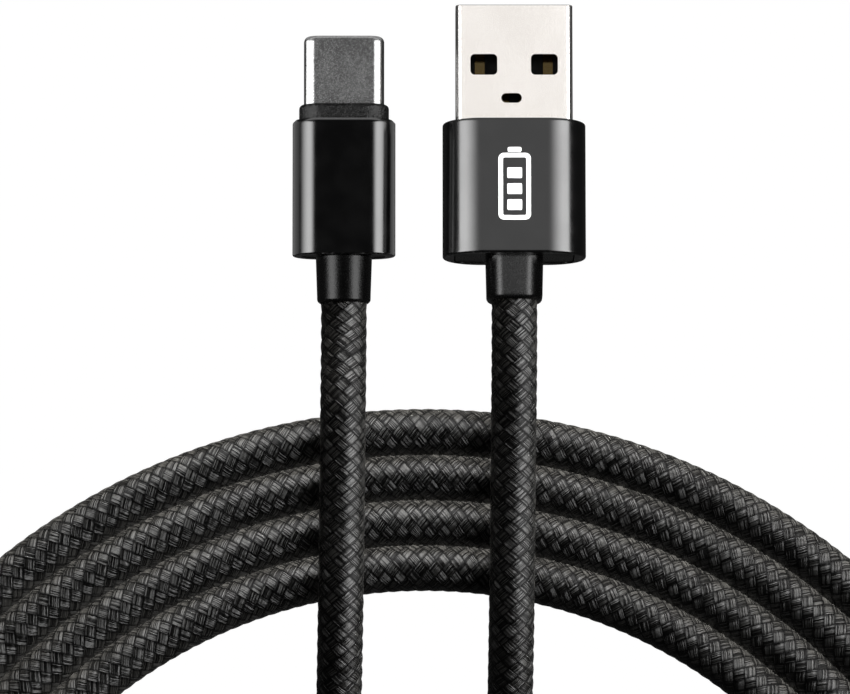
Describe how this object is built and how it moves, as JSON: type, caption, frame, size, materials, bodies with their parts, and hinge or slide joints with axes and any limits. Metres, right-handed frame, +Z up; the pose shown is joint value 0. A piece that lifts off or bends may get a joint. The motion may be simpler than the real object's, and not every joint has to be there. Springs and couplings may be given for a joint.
{
  "type": "charging cable",
  "caption": "Braided charging cable with a USB-A plug and a USB-C plug in round-sided metal housings, its cord laid in a flat oval coil held by a tie.",
  "frame": {"origin": "on the surface that the cable lies on, under the middle of the box round the two plugs", "axes": "+Y the way both plugs point, +X from the USB-C plug to the USB-A plug, +Z up"},
  "size_m": [0.1203, 0.1295, 0.0102],
  "materials": {
    "plated_shell": "bright nickel plate with fine drawing lines",
    "satin_shell": "fine satin nickel plate",
    "anodised_housing": "black anodised, fine satin, bright at its chamfers",
    "insulator": "black moulded plastic",
    "gold_contact": "gold plated",
    "spring_steel": "bare spring steel",
    "circuit_board": "green solder mask",
    "resistor": "black chip resistor",
    "inner_mould": "dull black moulding",
    "collar_plastic": "black plastic with a sparked grain",
    "relief_plastic": "smooth black flexible plastic",
    "braid": "black nylon braid, plain weave of fine yarns",
    "tie_fabric": "black hook-and-loop fabric",
    "wire_red": "red insulation",
    "wire_green": "green insulation",
    "wire_white": "white insulation",
    "wire_black": "black insulation"
  },
  "bodies": {
    "cable": {"usb_a_shell": "plated_shell", "usb_a_contact_block": "insulator", "usb_a_contact_1": "gold_contact", "usb_a_contact_2": "gold_contact", "usb_a_contact_3": "gold_contact", "usb_a_contact_4": "gold_contact", "usb_a_housing": "anodised_housing", "usb_a_inner_mould": "inner_mould", "usb_a_strain_relief": "relief_plastic", "usb_a_wire_red": "wire_red", "usb_a_wire_green": "wire_green", "usb_a_wire_white": "wire_white", "usb_a_wire_black": "wire_black", "usb_c_shell": "satin_shell", "usb_c_contact_carrier": "insulator", "usb_c_contact_upper_ground_left": "gold_contact", "usb_c_contact_upper_power_left": "gold_contact", "usb_c_contact_upper_channel": "gold_contact", "usb_c_contact_upper_data_plus": "gold_contact", "usb_c_contact_upper_data_minus": "gold_contact", "usb_c_contact_upper_power_right": "gold_contact", "usb_c_contact_upper_ground_right": "gold_contact", "usb_c_contact_lower_ground_left": "gold_contact", "usb_c_contact_lower_power_left": "gold_contact", "usb_c_contact_lower_power_right": "gold_contact", "usb_c_contact_lower_ground_right": "gold_contact", "usb_c_shield_pad_upper": "spring_steel", "usb_c_shield_pad_lower": "spring_steel", "usb_c_latch_bridge": "spring_steel", "usb_c_collar": "collar_plastic", "usb_c_housing": "anodised_housing", "usb_c_circuit_board": "circuit_board", "usb_c_pull_up_resistor": "resistor", "usb_c_inner_mould": "inner_mould", "usb_c_strain_relief": "relief_plastic", "usb_c_wire_red": "wire_red", "usb_c_wire_green": "wire_green", "usb_c_wire_white": "wire_white", "usb_c_wire_black": "wire_black", "cord_lead_a": "braid", "cord_lead_c": "braid", "cord_coil": "braid", "cord_tie": "tie_fabric"},
    "latch_arm_right": {"usb_c_latch_arm_right": "spring_steel"},
    "latch_arm_left": {"usb_c_latch_arm_left": "spring_steel"}
  },
  "joints": [
    {"name": "latch_right", "type": "hinge", "parent": "cable", "child": "latch_arm_right", "pos_m": [-0.00628, 0.00016, 0.00361], "axis": [0, -0.0785, -0.9969], "range_deg": [0, 1.05], "stiffness_Nm_per_rad": 0.2},
    {"name": "latch_left", "type": "hinge", "parent": "cable", "child": "latch_arm_left", "pos_m": [-0.01322, 0.00016, 0.00361], "axis": [0, 0.0785, 0.9969], "range_deg": [0, 1.05], "stiffness_Nm_per_rad": 0.2}
  ]
}
